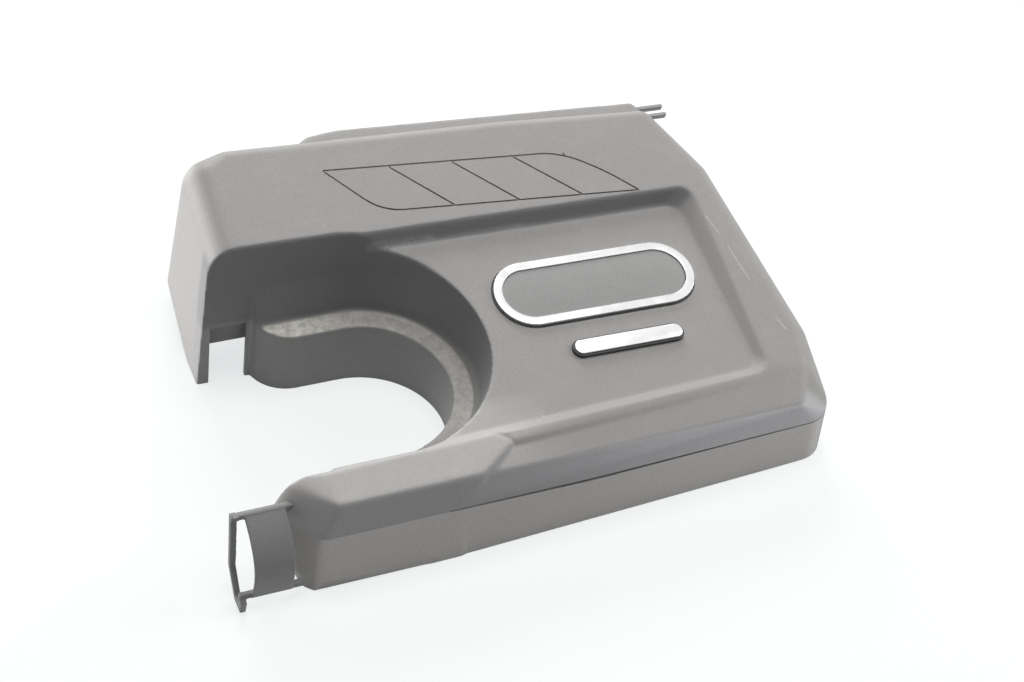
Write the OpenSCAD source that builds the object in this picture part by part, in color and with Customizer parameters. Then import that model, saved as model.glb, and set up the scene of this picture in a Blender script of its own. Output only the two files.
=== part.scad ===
// Moulded engine cover: a shallow hood with a raised ridge, a dished deck, a stepped round
// opening on the left, an arm along the front edge and a hose guide on the arm's end.
// X runs to the right along the badge, Y to the rear, Z up. The skirt stands on Z = 0.
// Deck features are laid out in a deck frame: its origin is the middle of the badge, on the
// dish floor, and it is pitched and rolled from the frame that the skirt stands in.

/* [Overall] */
// Length of the skirt from left to right
cover_l = 408; // [380:1:440]
// Depth of the skirt from front to rear
cover_d = 292; // [280:1:310]
// Wall thickness of the moulding
wall = 3; // [2.4:0.1:3.4]

/* [Deck] */
// Height of the dish floor over the table at the badge
deck_z = 87; // [80:1:95]
// Pitch of the deck, rising to the rear, in degrees
deck_pitch = 12; // [10:0.5:13]
// Roll of the deck, falling to the right, in degrees
deck_roll = 1.5; // [0:0.1:2]
// Height of the rim at the front of the dish over its floor
rim_h = 5; // [4:0.5:7]
// Height of the ridge's rear edge over the dish floor
ridge_h = 14; // [11:0.5:16]
// Height of the arm's top over the dish floor
arm_h = 4.3; // [2:0.1:5]

/* [Skirt] */
// Depth of the front wall's top edge below the dish floor
brow_drop = 16; // [13:0.5:20]
// Height of the leg side's lower edge at the rear left corner
heel_h = 30; // [20:1:40]
// Width of the notch beside the leg
notch_w = 26; // [16:1:30]
// Height of the notch beside the leg
notch_h = 50; // [36:1:54]
// Width of the leg left of the notch
leg_w = 8; // [7:0.5:14]
// Width of the arm between the front wall and the opening
arm_w = 32; // [30:0.5:36]
// Height of the tucked-in band along the foot of the arm's front
tuck_h = 9; // [5:0.5:12]
// Depth of that band at the table
tuck_deep = 1.6; // [0.6:0.1:2]

/* [Opening] */
// Radius of the opening at the deck
mouth_r = 83; // [78:1:86]
// Radius of the ledge inside the opening
ledge_r = 70; // [66:1:74]
// Radius of the opening below the ledge
throat_r = 56; // [48:1:60]
// Height of the ledge over the table
ledge_z = 43; // [36:1:50]
// Pitch of the ledge, in degrees
ledge_pitch = 6; // [0:0.5:10]

/* [Groove panel] */
// Width of the grooves on the ridge
groove_w = 1.4; // [0.8:0.1:2]
// Depth of the grooves on the ridge
groove_deep = 1.1; // [0.6:0.1:1.6]

/* [Badge] */
// Length of the blank badge
badge_l = 150; // [120:1:156]
// Width of the blank badge
badge_w = 52; // [44:1:56]
// Width of the badge's bright rim
badge_rim = 6; // [4:0.5:8]
// Height of the badge's bright rim over its seat
badge_h = 4; // [3:0.25:5]
// Depth of the seat that the badge lies in
seat_deep = 1; // [0.6:0.1:1.5]
// Length of the plain trim bar below the badge
bar_l = 84; // [60:1:100]
// Width of the plain trim bar
bar_w = 14; // [10:1:18]
// Height of the trim bar's dark plinth
plinth_h = 2.5; // [1.5:0.25:4]
// Thickness of the trim bar's bright face
bar_h = 1.5; // [1:0.25:2]
// Radius of the pins that hold the badge and the bar
pin_r = 1.5; // [1.2:0.1:2]
// Radius of the push nuts on the pins
nut_r = 5; // [4:0.25:6]

/* [Sockets] */
// Radius of the ball stud that each grommet grips
ball_r = 5; // [4:0.25:6]
// Length of the stud hole in each grommet
stud_deep = 12; // [10:0.5:14]
// Outer radius of the grommet's barrel
barrel_r = 8.5; // [7.5:0.25:10]
// Outer radius of the grommet's flange
flange_r = 12; // [11.5:0.25:13]
// Height of the socket towers' lower ends over the table
tower_z = 30; // [26:1:34]

/* [Foam] */
// Thickness of the foam pads
foam_t = 10; // [6:0.5:12]

/* [Rear lip and peg] */
// Thickness of the lip behind the ridge
lip_t = 4; // [3:0.25:5]
// Length of the forked peg at the lip's right end
peg_l = 16; // [10:1:20]
// Thickness of each prong of the peg
prong_t = 3; // [2:0.25:4]

/* [Hose guide] */
// Length of the guide's top bar
guide_l = 34; // [28:1:40]
// Thickness of the guide's bars
guide_t = 4; // [3:0.25:5]
// Height of the guide's top bar over the table
guide_z = 61; // [56:1:64]
// Clearance between separate pieces
gap = 0.3; // [0.2:0.05:0.4]

/* [Hidden] */
GROMMETS = ["grommet_front_left", "grommet_front_right", "grommet_rear_left", "grommet_rear_right"];
NUTS = ["push_nut_1", "push_nut_2", "push_nut_3", "push_nut_4", "push_nut_5", "push_nut_6"];

// Overrun of every cut past the face that it opens
over = 1;
// Thickness of the sheets that a hull is stretched between
thin = 0.01;
// Height that clears the whole part
tall = 200;
// Facets of the round corners, outside and inside the shell
$fn = 32;
inner_fn = 16;

// Where the badge's middle lies in plan, as shares of the cover's length and depth
badge_place_shares = [0.186, -0.048];
// Radii of the skirt's corner columns
tight_r = 10;
slim_r = 9;
broad_r = 24;
rear_r = 20;
left_r = 12;
heel_r = 8;
// Radii of the edges of the deck
crease_r = 4;
crest_r = 6;
shoulder_r = 16;
left_shoulder_r = 20;
// How far the right shoulder lies under the border plane
shoulder_sink = 1;

// Corners of the skirt on the table, as shares of the length and depth, with their radii
foot_shares = [[-0.397, -0.479], [-0.167, -0.4745], [0.479, -0.381], [0.449, 0.36], [-0.434, 0.457],
    [-0.4266, 0.14]];
foot_radii = [slim_r, slim_r, broad_r, rear_r, heel_r, left_r];
// Corners of the front wall's top edge in the deck frame, and how far that edge lies below the floor
brow_shares = [[-0.578, -0.4534], [-0.36, -0.446], [-0.12, -0.436], [0.282, -0.357]];
brow_radii = [tight_r, tight_r, tight_r, broad_r];
brow_dips = [0, 0, 3, 4];

// Corners of the deck in the deck frame, as shares of the length and depth
ledge_front_shares = [[-0.56, -0.436], [0.262, -0.416]];
crest_shares = [[-0.314, -0.397], [0.228, -0.305]];
right_shoulder_shares = [[0.285, -0.325], [0.303, -0.226], [0.268, 0.27]];
rear_shoulder_shares = [[0.22, 0.448], [-0.05, 0.47], [-0.545, 0.487]];
left_shoulder_shares = [[-0.575, 0.455], [-0.581, 0.214]];
arm_shares = [[-0.338, -0.436], [-0.559, -0.443], [-0.338, -0.3], [-0.578, -0.3]];
nose_share = [-0.62, -0.394];
nose_drop = 12;
nose_r = 12;
// How far the arm's front stands proud of the front wall
arm_proud = 1;

function place(share) = [share[0] * cover_l, share[1] * cover_d];

// The front wall's line, and the opening's side behind the arm
front_y = foot_shares[0][1] * cover_d - slim_r;
side_y = front_y + arm_w;

badge_place = place(badge_place_shares);

// The origin is the middle of the part's box: where that lies from the middle of the skirt, as shares
box_middle_shares = [0.002412, -0.010568];

module centred() {
    m = place(box_middle_shares);
    translate([-m[0], -m[1], 0]) children();
}

// Height of the sloping border plane over the dish floor, at deck depth y
border_shares = [-0.33, 0.505];
border_rise = (ridge_h - rim_h) / ((border_shares[1] - border_shares[0]) * cover_d);
function border_z(y) = rim_h + border_rise * (y - border_shares[0] * cover_d);

module on_deck() {
    translate([badge_place[0], badge_place[1], deck_z]) rotate([deck_pitch, deck_roll, 0]) children();
}

// A ball under the surface: its top is at height top, less the inset
module knob(share, top, r, inset) {
    p = place(share);
    translate([p[0], p[1], top - r]) sphere(r = r - inset, $fn = inset > 0 ? inner_fn : $fn);
}

// A thin disc at a corner, from which a wall rises or falls
module corner(share, r, inset, z) {
    p = place(share);
    translate([p[0], p[1], z]) cylinder(r = r - inset, h = over, $fn = inset > 0 ? inner_fn : $fn);
}

module feet(inset, picks, proud = 0) {
    for (i = picks) corner(foot_shares[i], foot_radii[i] + proud, inset, inset > 0 ? -over : 0);
}

module brow(inset, picks, proud = 0) {
    on_deck() for (i = picks) corner(brow_shares[i], brow_radii[i] + proud, inset,
        -brow_drop - brow_dips[i] - inset / 2);
}

module shoulders(inset) {
    on_deck() {
        for (s = right_shoulder_shares)
            knob(s, border_z(s[1] * cover_d) - shoulder_sink, shoulder_r, inset);
        for (s = rear_shoulder_shares) knob(s, border_z(s[1] * cover_d), tight_r, inset);
        for (s = left_shoulder_shares) knob(s, border_z(s[1] * cover_d), left_shoulder_r, inset);
    }
}

// Outer form of the hood, or with an inset the form of its inside
module form(inset) {
    hull() {
        feet(inset, [0 : 5]);
        brow(inset, [0 : 3]);
        on_deck() for (s = ledge_front_shares) knob(s, 0, crease_r, inset);
        shoulders(inset);
    }
    hull() {
        on_deck() for (s = crest_shares) knob(s, border_z(s[1] * cover_d), crest_r, inset);
        shoulders(inset);
    }
    hull() {
        feet(inset, [0 : 1], arm_proud);
        brow(inset, [0 : 1], arm_proud);
        on_deck() for (s = arm_shares) knob(s, arm_h, crease_r, inset);
        on_deck() knob(nose_share, -nose_drop, nose_r, inset);
    }
}

// Dish floor: corner centres in the deck frame as shares, its corner radius and the flare of its sides
dish_shares = [[-0.7, -0.285], [-0.7, 0.13], [0.168, 0.13], [0.168, -0.235]];
dish_flare_shares = [[0, -1.6], [0, 0.55], [1.2, 0.55], [1.2, -1.6]];
dish_r = 20;
dish_cut_h = 25;

module dish(grow) {
    on_deck() translate([0, 0, -grow]) hull() for (i = [0 : 3]) {
        p = place(dish_shares[i]);
        translate([p[0], p[1], 0]) cylinder(r = dish_r + grow, h = thin);
        flare = dish_flare_shares[i] * dish_cut_h;
        translate([p[0] + flare[0], p[1] + flare[1], dish_cut_h]) cylinder(r = dish_r + grow, h = thin);
    }
}

// Stepped opening: centres of its mouth and of its ledge and throat, and the lines of its straight sides
mouth_share = [-0.238, -0.116];
throat_share = [-0.2206, -0.096];
far_share = -0.8;
side_rear_share = 0.168;
ledge_rear_share = 0.15;
ledge_in = 11.7;
throat_turn_share = -0.365;
throat_fillet = 20;
mouth_rise = 38;

module tongue(c, r, y_low, y_high, grow) {
    hull() {
        translate(c) circle(r = r + grow);
        translate([far_share * cover_l, y_low - grow])
            square([c[0] - far_share * cover_l, y_high - y_low + 2 * grow]);
    }
}

module throat_outline(grow) {
    c = place(throat_share);
    high = side_rear_share * cover_d;
    offset(delta = grow) offset(r = -throat_fillet) offset(r = throat_fillet) union() {
        translate(c) circle(r = throat_r, $fn = 96);
        translate([far_share * cover_l, c[1] - throat_r]) square([c[0] - far_share * cover_l, 2 * throat_r]);
        translate([far_share * cover_l, side_y])
            square([(throat_turn_share - far_share) * cover_l, high - side_y]);
    }
}

module opening(grow) {
    c = place(throat_share);
    ledge_rear = ledge_rear_share * cover_d;
    translate([0, 0, -2 * over]) linear_extrude(height = tall) throat_outline(grow);
    hull() {
        translate([0, 0, ledge_z - grow]) translate([c[0], c[1], 0]) rotate([ledge_pitch, 0, 0])
            translate([-c[0], -c[1], 0]) linear_extrude(height = thin)
            tongue(c, ledge_r, side_y + ledge_in, ledge_rear, grow, $fn = 72);
        translate([0, 0, ledge_z + mouth_rise]) linear_extrude(height = tall)
            tongue(place(mouth_share), mouth_r, side_y, side_rear_share * cover_d, grow, $fn = 72);
    }
}

module cavity() {
    difference() {
        form(wall);
        dish(wall);
        opening(wall);
        towers();
    }
}

// Holes and seats in the deck for the badge and the bar
module stadium(l, w) {
    translate([w / 2 - l / 2, -w / 2]) square([l - w, w]);
    for (s = [-1, 1]) translate([s * (l - w) / 2, 0]) circle(r = w / 2, $fn = 64);
}

bar_place_shares = [0.012, -0.17];
bar_place = place(bar_place_shares);
badge_pin_x = (badge_l - badge_w) / 2;
bar_pin_x = (bar_l - bar_w) / 2 - nut_r;
PINS = [for (sx = [-1, 1]) for (sy = [-1, 1]) [sx * badge_pin_x, sy * (badge_w - badge_rim) / 2]];
BAR_PINS = [for (sx = [-1, 1]) [bar_place[0] + sx * bar_pin_x, bar_place[1]]];

module seats() {
    on_deck() {
        translate([0, 0, -seat_deep]) linear_extrude(height = dish_cut_h)
            stadium(badge_l + 2 * gap, badge_w + 2 * gap);
        for (p = concat(PINS, BAR_PINS)) translate([p[0], p[1], -wall - over])
            cylinder(r = pin_r + gap, h = wall + 2 * over);
    }
}

// Slanted groove panel on the ridge: corners in the deck frame as shares
panel_top_shares = [[-0.397, 0.411], [0.012, 0.373]];
panel_bend_shares = [[0.052, 0.35], [0.1, 0.297], [0.146, 0.228]];
panel_low_shares = [[-0.31, 0.272], [-0.345, 0.301]];
divider_share = 0.768;
divider_up = 0.15;

module groove(a, b, up = 0) {
    hull() for (s = [a, b]) {
        p = place(s);
        translate([p[0], p[1], border_z(p[1]) - groove_deep + up])
            cylinder(r = groove_w / 2, h = dish_cut_h, $fn = 12);
    }
}

function mix(a, b, t) = a + (b - a) * t;

module grooves() {
    run = concat(panel_top_shares, panel_bend_shares, panel_low_shares, [panel_top_shares[0]]);
    on_deck() {
        for (i = [0 : len(run) - 2]) groove(run[i], run[i + 1]);
        for (i = [1 : 3])
            groove(mix(panel_top_shares[0], [panel_bend_shares[0][0], panel_top_shares[1][1]], i / 4),
                mix(panel_low_shares[0], panel_bend_shares[2], i * divider_share / 3), divider_up);
    }
}

// Lip behind the ridge, with the forked peg at its right end
lip_shares = [[-0.43, 0.49], [0.25, 0.46], [-0.39, 0.545], [-0.33, 0.552], [0.2265, 0.521]];
lip_drop = 14;
peg_share = [0.25, 0.497];
prong_pitch = 8;
prong_root = 8;

module rear_lip() {
    on_deck() {
        hull() for (s = lip_shares) {
            p = place(s);
            translate([p[0], p[1], border_z(p[1]) - lip_drop - lip_t])
                cylinder(r = lip_t, h = lip_t, $fn = 24);
        }
        p = place(peg_share);
        for (s = [-1, 1]) translate([p[0] - prong_root, p[1] + s * prong_pitch / 2 - prong_t / 2,
            border_z(p[1]) - lip_drop - lip_t]) cube([peg_l + prong_root, prong_t, lip_t]);
    }
}

// Notch beside the leg, and the skirt's rising edge on the left and at the rear
leg_share = -0.455;
rise_from_share = 0.25;
rise_to_share = 0.5;
rise_end_share = -0.1;

module skirt_cuts() {
    translate([leg_share * cover_l + leg_w, side_rear_share * cover_d - 2 * over, -over])
        cube([notch_w, wall + 4 * over, notch_h + over]);
    translate([-cover_l, 0, 0]) rotate([90, 0, 90]) linear_extrude(height = cover_l * (1 + rise_end_share))
        polygon([[rise_from_share * cover_d, -over], [rise_from_share * cover_d, 0],
            [rise_to_share * cover_d, heel_h], [cover_d, heel_h], [cover_d, -over]]);
}

// Band along the foot of the arm's front, tucked in a little
module tuck() {
    a = place(foot_shares[0]);
    b = place(foot_shares[1]);
    front = a[1] - tight_r;
    hull() {
        translate([a[0] - tight_r, front - over, -over]) cube([over, over + tuck_deep, over]);
        translate([a[0] - tight_r, front - over, 0]) cube([over, over, tuck_h]);
        translate([b[0] - tight_r, front - over, -over]) cube([over, over + tuck_deep, thin]);
    }
}

// Socket towers under the deck: the first stands in the middle of the arm, the others in plan as shares
arm_tower_share = -0.372;
tower_shares = [[0.44, -0.35], [-0.34, 0.33], [0.4, 0.3]];
TOWERS = concat([[arm_tower_share * cover_l, front_y + arm_w / 2]], [for (s = tower_shares) place(s)]);
tower_wall = 2.5;
rib_t = 2;
rib_l = 40;

module tower(i) {
    p = TOWERS[i];
    translate([p[0], p[1], tower_z]) cylinder(r = barrel_r + gap + tower_wall, h = tall);
    for (turn = [0, 90]) translate([p[0], p[1], tower_z + stud_deep]) rotate([0, 0, turn])
        translate([-rib_l / 2, -rib_t / 2, 0]) cube([rib_l, rib_t, tall]);
}

module tower_bore(i) {
    p = TOWERS[i];
    translate([p[0], p[1], tower_z - over]) cylinder(r = barrel_r + gap, h = stud_deep + over, $fn = 48);
}

// Rib behind the notch, between the left wall and the opening's wall
web_y_share = 0.206;
web_z = 26;

module web() {
    translate([leg_share * cover_l, web_y_share * cover_d, web_z])
        cube([leg_w + notch_w + 2 * wall, rib_t, tall]);
}

module towers() {
    difference() {
        union() {
            for (i = [0 : 3]) tower(i);
            web();
        }
        for (i = [0 : 3]) tower_bore(i);
    }
}

module cover_shell() {
    color("dimgray") centred() difference() {
        union() {
            form(0);
            rear_lip();
        }
        dish(0);
        opening(0);
        cavity();
        seats();
        grooves();
        skirt_cuts();
        tuck();
    }
}

// Hose guide: outline of its end ring, as shares of its depth and height, and the arc of its saddle
guide_d = 22;
guide_y_share = -0.435;
guide_x_share = -0.533;
guide_end_share = -0.43;
ring_shares = [[0.22, 1.06], [0, 1.06], [0.1, 0.32], [0.64, 0.075], [0.95, 0.09], [1.06, 0.2], [1.24, 0.16],
    [1.14, 0], [0.6, 0], [-0.08, 0.28], [-0.2, 1]];
guide_bar_share = 0.17;
saddle_bulge_share = 0.2;
saddle_fall_share = 0.82;
saddle_lift_share = 0.08;
saddle_steps = 12;
saddle_t = 2.5;
saddle_start = 8;

module ring_profile() {
    polygon([for (s = ring_shares) [-s[0] * guide_d, s[1] * guide_z]]);
}

function saddle_point(t, grow) =
    [-t * guide_d - saddle_bulge_share * guide_z * sin(180 * t) - grow * sin(90 * t),
        guide_z * (1 - saddle_fall_share * t + saddle_lift_share * sin(180 * t)) + grow * cos(90 * t)];

module saddle_profile() {
    polygon(concat([for (k = [0 : saddle_steps]) saddle_point(k / saddle_steps, 0)],
        [for (k = [saddle_steps : -1 : 0]) saddle_point(k / saddle_steps, saddle_t)]));
}

module along_x(x, l) {
    translate([x, guide_y_share * cover_d, 0]) rotate([90, 0, 90]) linear_extrude(height = l) children();
}

module hose_guide() {
    x = guide_x_share * cover_l;
    reach = (guide_end_share - guide_x_share) * cover_l;
    color("#33383a") centred() difference() {
        union() {
            along_x(x, guide_t) ring_profile();
            along_x(x + saddle_start, guide_l - saddle_start) saddle_profile();
            along_x(x, reach) translate([-guide_t / 2, guide_z - guide_t / 2]) square([guide_t, guide_t]);
            along_x(x, reach) translate([-guide_d - guide_t / 2, guide_bar_share * guide_z])
                square([guide_t, guide_t]);
        }
        form(-gap);
    }
}

// Blank badge: a bright rim round a plain dark panel, on pins through the deck
nut_t = 1.2;

module pin(p) {
    translate([p[0], p[1], -wall - gap - nut_t - gap]) cylinder(r = pin_r, h = wall + nut_t + 2 * gap);
}

module badge_frame() {
    color("gainsboro") centred() on_deck() {
        translate([0, 0, -seat_deep]) linear_extrude(height = badge_h) difference() {
            stadium(badge_l, badge_w);
            stadium(badge_l - 2 * badge_rim, badge_w - 2 * badge_rim);
        }
        for (p = PINS) pin(p);
    }
}

module badge_panel() {
    color("gray") centred() on_deck() translate([0, 0, -seat_deep])
        linear_extrude(height = badge_h - seat_deep)
        stadium(badge_l - 2 * badge_rim - 2 * gap, badge_w - 2 * badge_rim - 2 * gap);
}

// Plain trim bar on its plinth
module trim_plinth() {
    color("black") centred() on_deck() {
        translate(bar_place) linear_extrude(height = plinth_h) stadium(bar_l, bar_w);
        for (p = BAR_PINS) pin(p);
    }
}

module trim_bar() {
    color("gainsboro") centred() on_deck() translate([bar_place[0], bar_place[1], plinth_h])
        linear_extrude(height = bar_h) stadium(bar_l - 2 * bar_h, bar_w - 2 * bar_h);
}

module push_nut(i) {
    p = concat(PINS, BAR_PINS)[i];
    color("silver") centred() on_deck() translate([p[0], p[1], -wall - gap / 2 - nut_t]) difference() {
        cylinder(r = nut_r, h = nut_t);
        translate([0, 0, -over]) cylinder(r = pin_r + gap / 3, h = nut_t + 2 * over);
    }
}

// Rubber grommet in its socket tower, with the hole for a ball stud from below
module grommet(i) {
    p = TOWERS[i];
    top = stud_deep - gap;
    roof = wall;
    color("#202020") centred() translate([p[0], p[1], tower_z]) rotate_extrude($fn = 64) difference() {
        union() {
            translate([0, -gap - roof]) square([flange_r, roof]);
            translate([0, -gap - over]) square([barrel_r, top + gap + over]);
        }
        translate([0, -gap - roof - over]) square([ball_r, stud_deep + over]);
    }
}

// Foam pads under the deck and under the ridge
pad_low_shares = [-0.26, -0.27];
pad_high_shares = [0.2, 0.17];
ridge_pad_low_shares = [-0.44, 0.255];
ridge_pad_high_shares = [0.135, 0.455];
pad_r = 8;

module pad_outline(low, high) {
    l = place(low);
    h = place(high);
    for (grow = [0, 1]) translate([l[0] + grow * pad_r, l[1] + (1 - grow) * pad_r])
        square([h[0] - l[0] - 2 * grow * pad_r, h[1] - l[1] - 2 * (1 - grow) * pad_r]);
    for (x = [l[0] + pad_r, h[0] - pad_r]) for (y = [l[1] + pad_r, h[1] - pad_r])
        translate([x, y]) circle(r = pad_r);
}

module foam_pad_deck() {
    color("#4a4a48") centred() difference() {
        on_deck() translate([0, 0, -wall - gap - foam_t]) linear_extrude(height = foam_t)
            pad_outline(pad_low_shares, pad_high_shares);
        opening(wall + gap);
        on_deck() for (p = concat(PINS, BAR_PINS)) translate([p[0], p[1], -dish_cut_h])
            cylinder(r = nut_r + 2 * gap, h = dish_cut_h);
    }
}

module foam_pad_ridge() {
    color("#4a4a48") centred() on_deck() translate([0, 0, border_z(0) - wall - gap - foam_t])
        rotate([atan(border_rise), 0, 0]) linear_extrude(height = foam_t)
        pad_outline(ridge_pad_low_shares, ridge_pad_high_shares);
}

cover_shell();
hose_guide();
badge_frame();
badge_panel();
trim_plinth();
trim_bar();
foam_pad_deck();
foam_pad_ridge();
for (i = [0 : 3]) grommet(i);
for (i = [0 : 5]) push_nut(i);
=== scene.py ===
import math

import bmesh
import bpy
from mathutils import Matrix, Vector


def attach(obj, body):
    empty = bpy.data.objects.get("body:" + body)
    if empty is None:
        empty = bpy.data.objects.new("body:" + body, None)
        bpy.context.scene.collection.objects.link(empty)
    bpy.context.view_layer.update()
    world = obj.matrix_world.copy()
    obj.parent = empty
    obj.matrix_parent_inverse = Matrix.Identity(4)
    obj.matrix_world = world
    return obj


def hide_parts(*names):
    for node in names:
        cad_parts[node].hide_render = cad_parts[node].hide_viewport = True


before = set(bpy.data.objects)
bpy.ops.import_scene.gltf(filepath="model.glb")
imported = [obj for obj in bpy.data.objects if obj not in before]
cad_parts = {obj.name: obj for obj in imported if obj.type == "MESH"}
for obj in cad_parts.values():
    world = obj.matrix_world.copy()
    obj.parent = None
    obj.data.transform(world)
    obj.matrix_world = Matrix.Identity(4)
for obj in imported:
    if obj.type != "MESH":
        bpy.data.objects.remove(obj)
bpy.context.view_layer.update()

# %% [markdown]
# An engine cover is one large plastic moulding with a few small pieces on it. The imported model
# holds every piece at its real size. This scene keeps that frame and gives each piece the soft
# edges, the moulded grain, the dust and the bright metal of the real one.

MM = 0.001
print("nodes:", sorted(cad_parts))

# %% [markdown]
# The photograph is taken from the front left, looking down. The camera's place and its right and
# up directions come from fitting the part's own corners to the picture, so the render lands on it.

# %% Camera
CAMERA_PLACE = Vector((-482.8, -896.2, 971.2)) * MM
CAMERA_RIGHT = Vector((0.913705, -0.386735, 0.124818))
CAMERA_UP = Vector((0.179478, 0.659602, 0.729872))
LENS = 69.89

camera = bpy.data.objects.new("camera", bpy.data.cameras.new("camera"))
bpy.context.scene.collection.objects.link(camera)
camera.data.lens = LENS
camera.data.sensor_width = 36
back = CAMERA_RIGHT.cross(CAMERA_UP)
camera.matrix_world = Matrix((CAMERA_RIGHT, CAMERA_UP, back)).transposed().to_4x4()
camera.location = CAMERA_PLACE
bpy.context.scene.camera = camera
bpy.context.scene.view_settings.view_transform = "Standard"
print("camera looks from", tuple(round(c, 3) for c in CAMERA_PLACE))

# %% [markdown]
# A studio table is lit by large soft boxes: one above, one behind, one at the right and a low one
# at the rear left. None stands at the camera, so the front bevel and the opening stay dark. Each
# strength was found by rendering the boxes one at a time and mixing them to match the picture's
# tones. The white surroundings light nothing: only the camera and reflections see them.

# %% Lights
AIM = Vector((0, 0, 0.05))


def soft_box(name, spot, size, power):
    lamp = bpy.data.lights.new(name, "AREA")
    lamp.shape = "RECTANGLE"
    lamp.size, lamp.size_y = size
    lamp.energy = power
    box = bpy.data.objects.new(name, lamp)
    bpy.context.scene.collection.objects.link(box)
    box.location = spot
    box.rotation_euler = (AIM - Vector(spot)).to_track_quat("-Z", "Y").to_euler()


soft_box("box_above", (0, 0, 2.0), (1.2, 1.2), 18)
soft_box("box_back", (0.3, 1.9, 1.3), (1.4, 1.0), 30)
soft_box("box_right", (2.0, -0.2, 1.2), (1.2, 1.0), 20)
soft_box("box_rear_left", (-1.7, 1.3, 0.4), (1.4, 0.6), 20)

world = bpy.data.worlds.new("studio")
bpy.context.scene.world = world
world.use_nodes = True
sky = world.node_tree.nodes["Background"]
rays = world.node_tree.nodes.new("ShaderNodeLightPath")
shown = rays.outputs["Is Camera Ray"]
for kind in ("Is Glossy Ray", "Is Transmission Ray"):
    either = world.node_tree.nodes.new("ShaderNodeMath")
    either.operation = "MAXIMUM"
    world.node_tree.links.new(shown, either.inputs[0])
    world.node_tree.links.new(rays.outputs[kind], either.inputs[1])
    shown = either.outputs[0]
world.node_tree.links.new(shown, sky.inputs["Strength"])
sky.inputs["Color"].default_value = (1, 1, 1, 1)

# %% [markdown]
# The cover is laid out as its maker would: corners in plan as shares of its length and depth, and
# everything on the deck in a deck frame that is pitched and rolled from the table. Each corner is
# a ball or a disc, and a skin is wrapped over them, which gives broad soft edges at once.

# %% Sizes and frames
COVER_L = 408 * MM
COVER_D = 292 * MM
WALL = 3 * MM
DECK_Z = 87 * MM
RIM_H = 5 * MM
RIDGE_H = 14 * MM
THIN = 0.02 * MM
MIDDLE_SHARE = (0.002412, -0.010568)
DECK_SHARE = (0.186, -0.048)
BORDER_SHARES = (-0.33, 0.505)
DECK_ROLL = math.radians(1.5)
DECK_PITCH = math.radians(12)


def place(share, z=0.0):
    """A point from its shares of the cover's length and depth."""
    return Vector((share[0] * COVER_L, share[1] * COVER_D, z))


CENTRE = Matrix.Translation(-place(MIDDLE_SHARE))
DECK = CENTRE @ Matrix.Translation(place(DECK_SHARE, DECK_Z))
DECK = DECK @ Matrix.Rotation(DECK_ROLL, 4, "Y") @ Matrix.Rotation(DECK_PITCH, 4, "X")


def border_z(y_share):
    """The height of the raised border over the deck: low at the front, high at the ridge."""
    front, rear = BORDER_SHARES
    return RIM_H + (RIDGE_H - RIM_H) * (y_share - front) / (rear - front)


def ball(bm, share, top, r, inset=0.0):
    centre = place(share, top - r)
    bmesh.ops.create_uvsphere(bm, u_segments=32, v_segments=20, radius=r - inset,
                              matrix=DECK @ Matrix.Translation(centre))


def flat_disc(bm, r, matrix, segments):
    bmesh.ops.create_cone(bm, cap_ends=True, segments=segments, radius1=r, radius2=r, depth=THIN,
                          matrix=matrix)


def disc(bm, share, r, z, on=CENTRE, inset=0.0):
    flat_disc(bm, r - inset, on @ Matrix.Translation(place(share, z)), 48)


def wrap(bm):
    """Keep only the points, and stretch one skin over them."""
    bmesh.ops.delete(bm, geom=bm.edges[:], context="EDGES_FACES")
    bmesh.ops.convex_hull(bm, input=bm.verts[:])
    loose = [v for v in bm.verts if not v.link_faces]
    bmesh.ops.delete(bm, geom=loose, context="VERTS")


def solid(bm, name):
    bmesh.ops.recalc_face_normals(bm, faces=bm.faces[:])
    mesh = bpy.data.meshes.new(name)
    bm.to_mesh(mesh)
    bm.free()
    piece = bpy.data.objects.new(name, mesh)
    bpy.context.scene.collection.objects.link(piece)
    return piece


def settle(piece):
    """Apply the piece's modifiers."""
    depsgraph = bpy.context.evaluated_depsgraph_get()
    mesh = bpy.data.meshes.new_from_object(piece.evaluated_get(depsgraph))
    piece.modifiers.clear()
    piece.data = mesh
    return piece


def combine(piece, tools, operation):
    for tool in tools:
        step = piece.modifiers.new("combine", "BOOLEAN")
        step.operation = operation
        step.solver = "MANIFOLD"
        step.object = tool
    settle(piece)
    for tool in tools:
        bpy.data.objects.remove(tool)
    return piece


print("deck frame at", tuple(round(c, 4) for c in DECK.translation))

# %% [markdown]
# A finish is a small tree of nodes. These helpers add one node, join two sockets, or spread a
# value over a range, so that each finish below reads as a short list of what is on the surface.

# %% Helpers for finishes
def new_finish(name):
    finish = bpy.data.materials.new(name)
    finish.use_nodes = True
    return finish, finish.node_tree, finish.node_tree.nodes["Principled BSDF"]


def feed(tree, value, socket):
    """Join a socket to another one, or give it a plain value."""
    if isinstance(value, bpy.types.NodeSocket):
        tree.links.new(value, socket)
    else:
        socket.default_value = value


def add(tree, kind, settings=None, **inputs):
    """A new node. i0, i1 stand for inputs by number, and other words for inputs by name."""
    node = tree.nodes.new("ShaderNode" + kind)
    for key, value in (settings or {}).items():
        setattr(node, key, value)
    for key, value in inputs.items():
        numbered = key[0] == "i" and key[1:].isdigit()
        feed(tree, value, node.inputs[int(key[1:]) if numbered else key.replace("_", " ")])
    return node


def object_place(tree):
    return add(tree, "TexCoord").outputs["Object"]


def split(tree, value):
    return add(tree, "SeparateXYZ", Vector=value).outputs[:3]


def vector(tree, what, out, **inputs):
    return add(tree, "VectorMath", {"operation": what}, **inputs).outputs[out]


def noise(tree, where, size, detail=3.0, rough=0.5):
    return add(tree, "TexNoise", Vector=where, Scale=1 / size, Detail=detail, Roughness=rough).outputs["Fac"]


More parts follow.
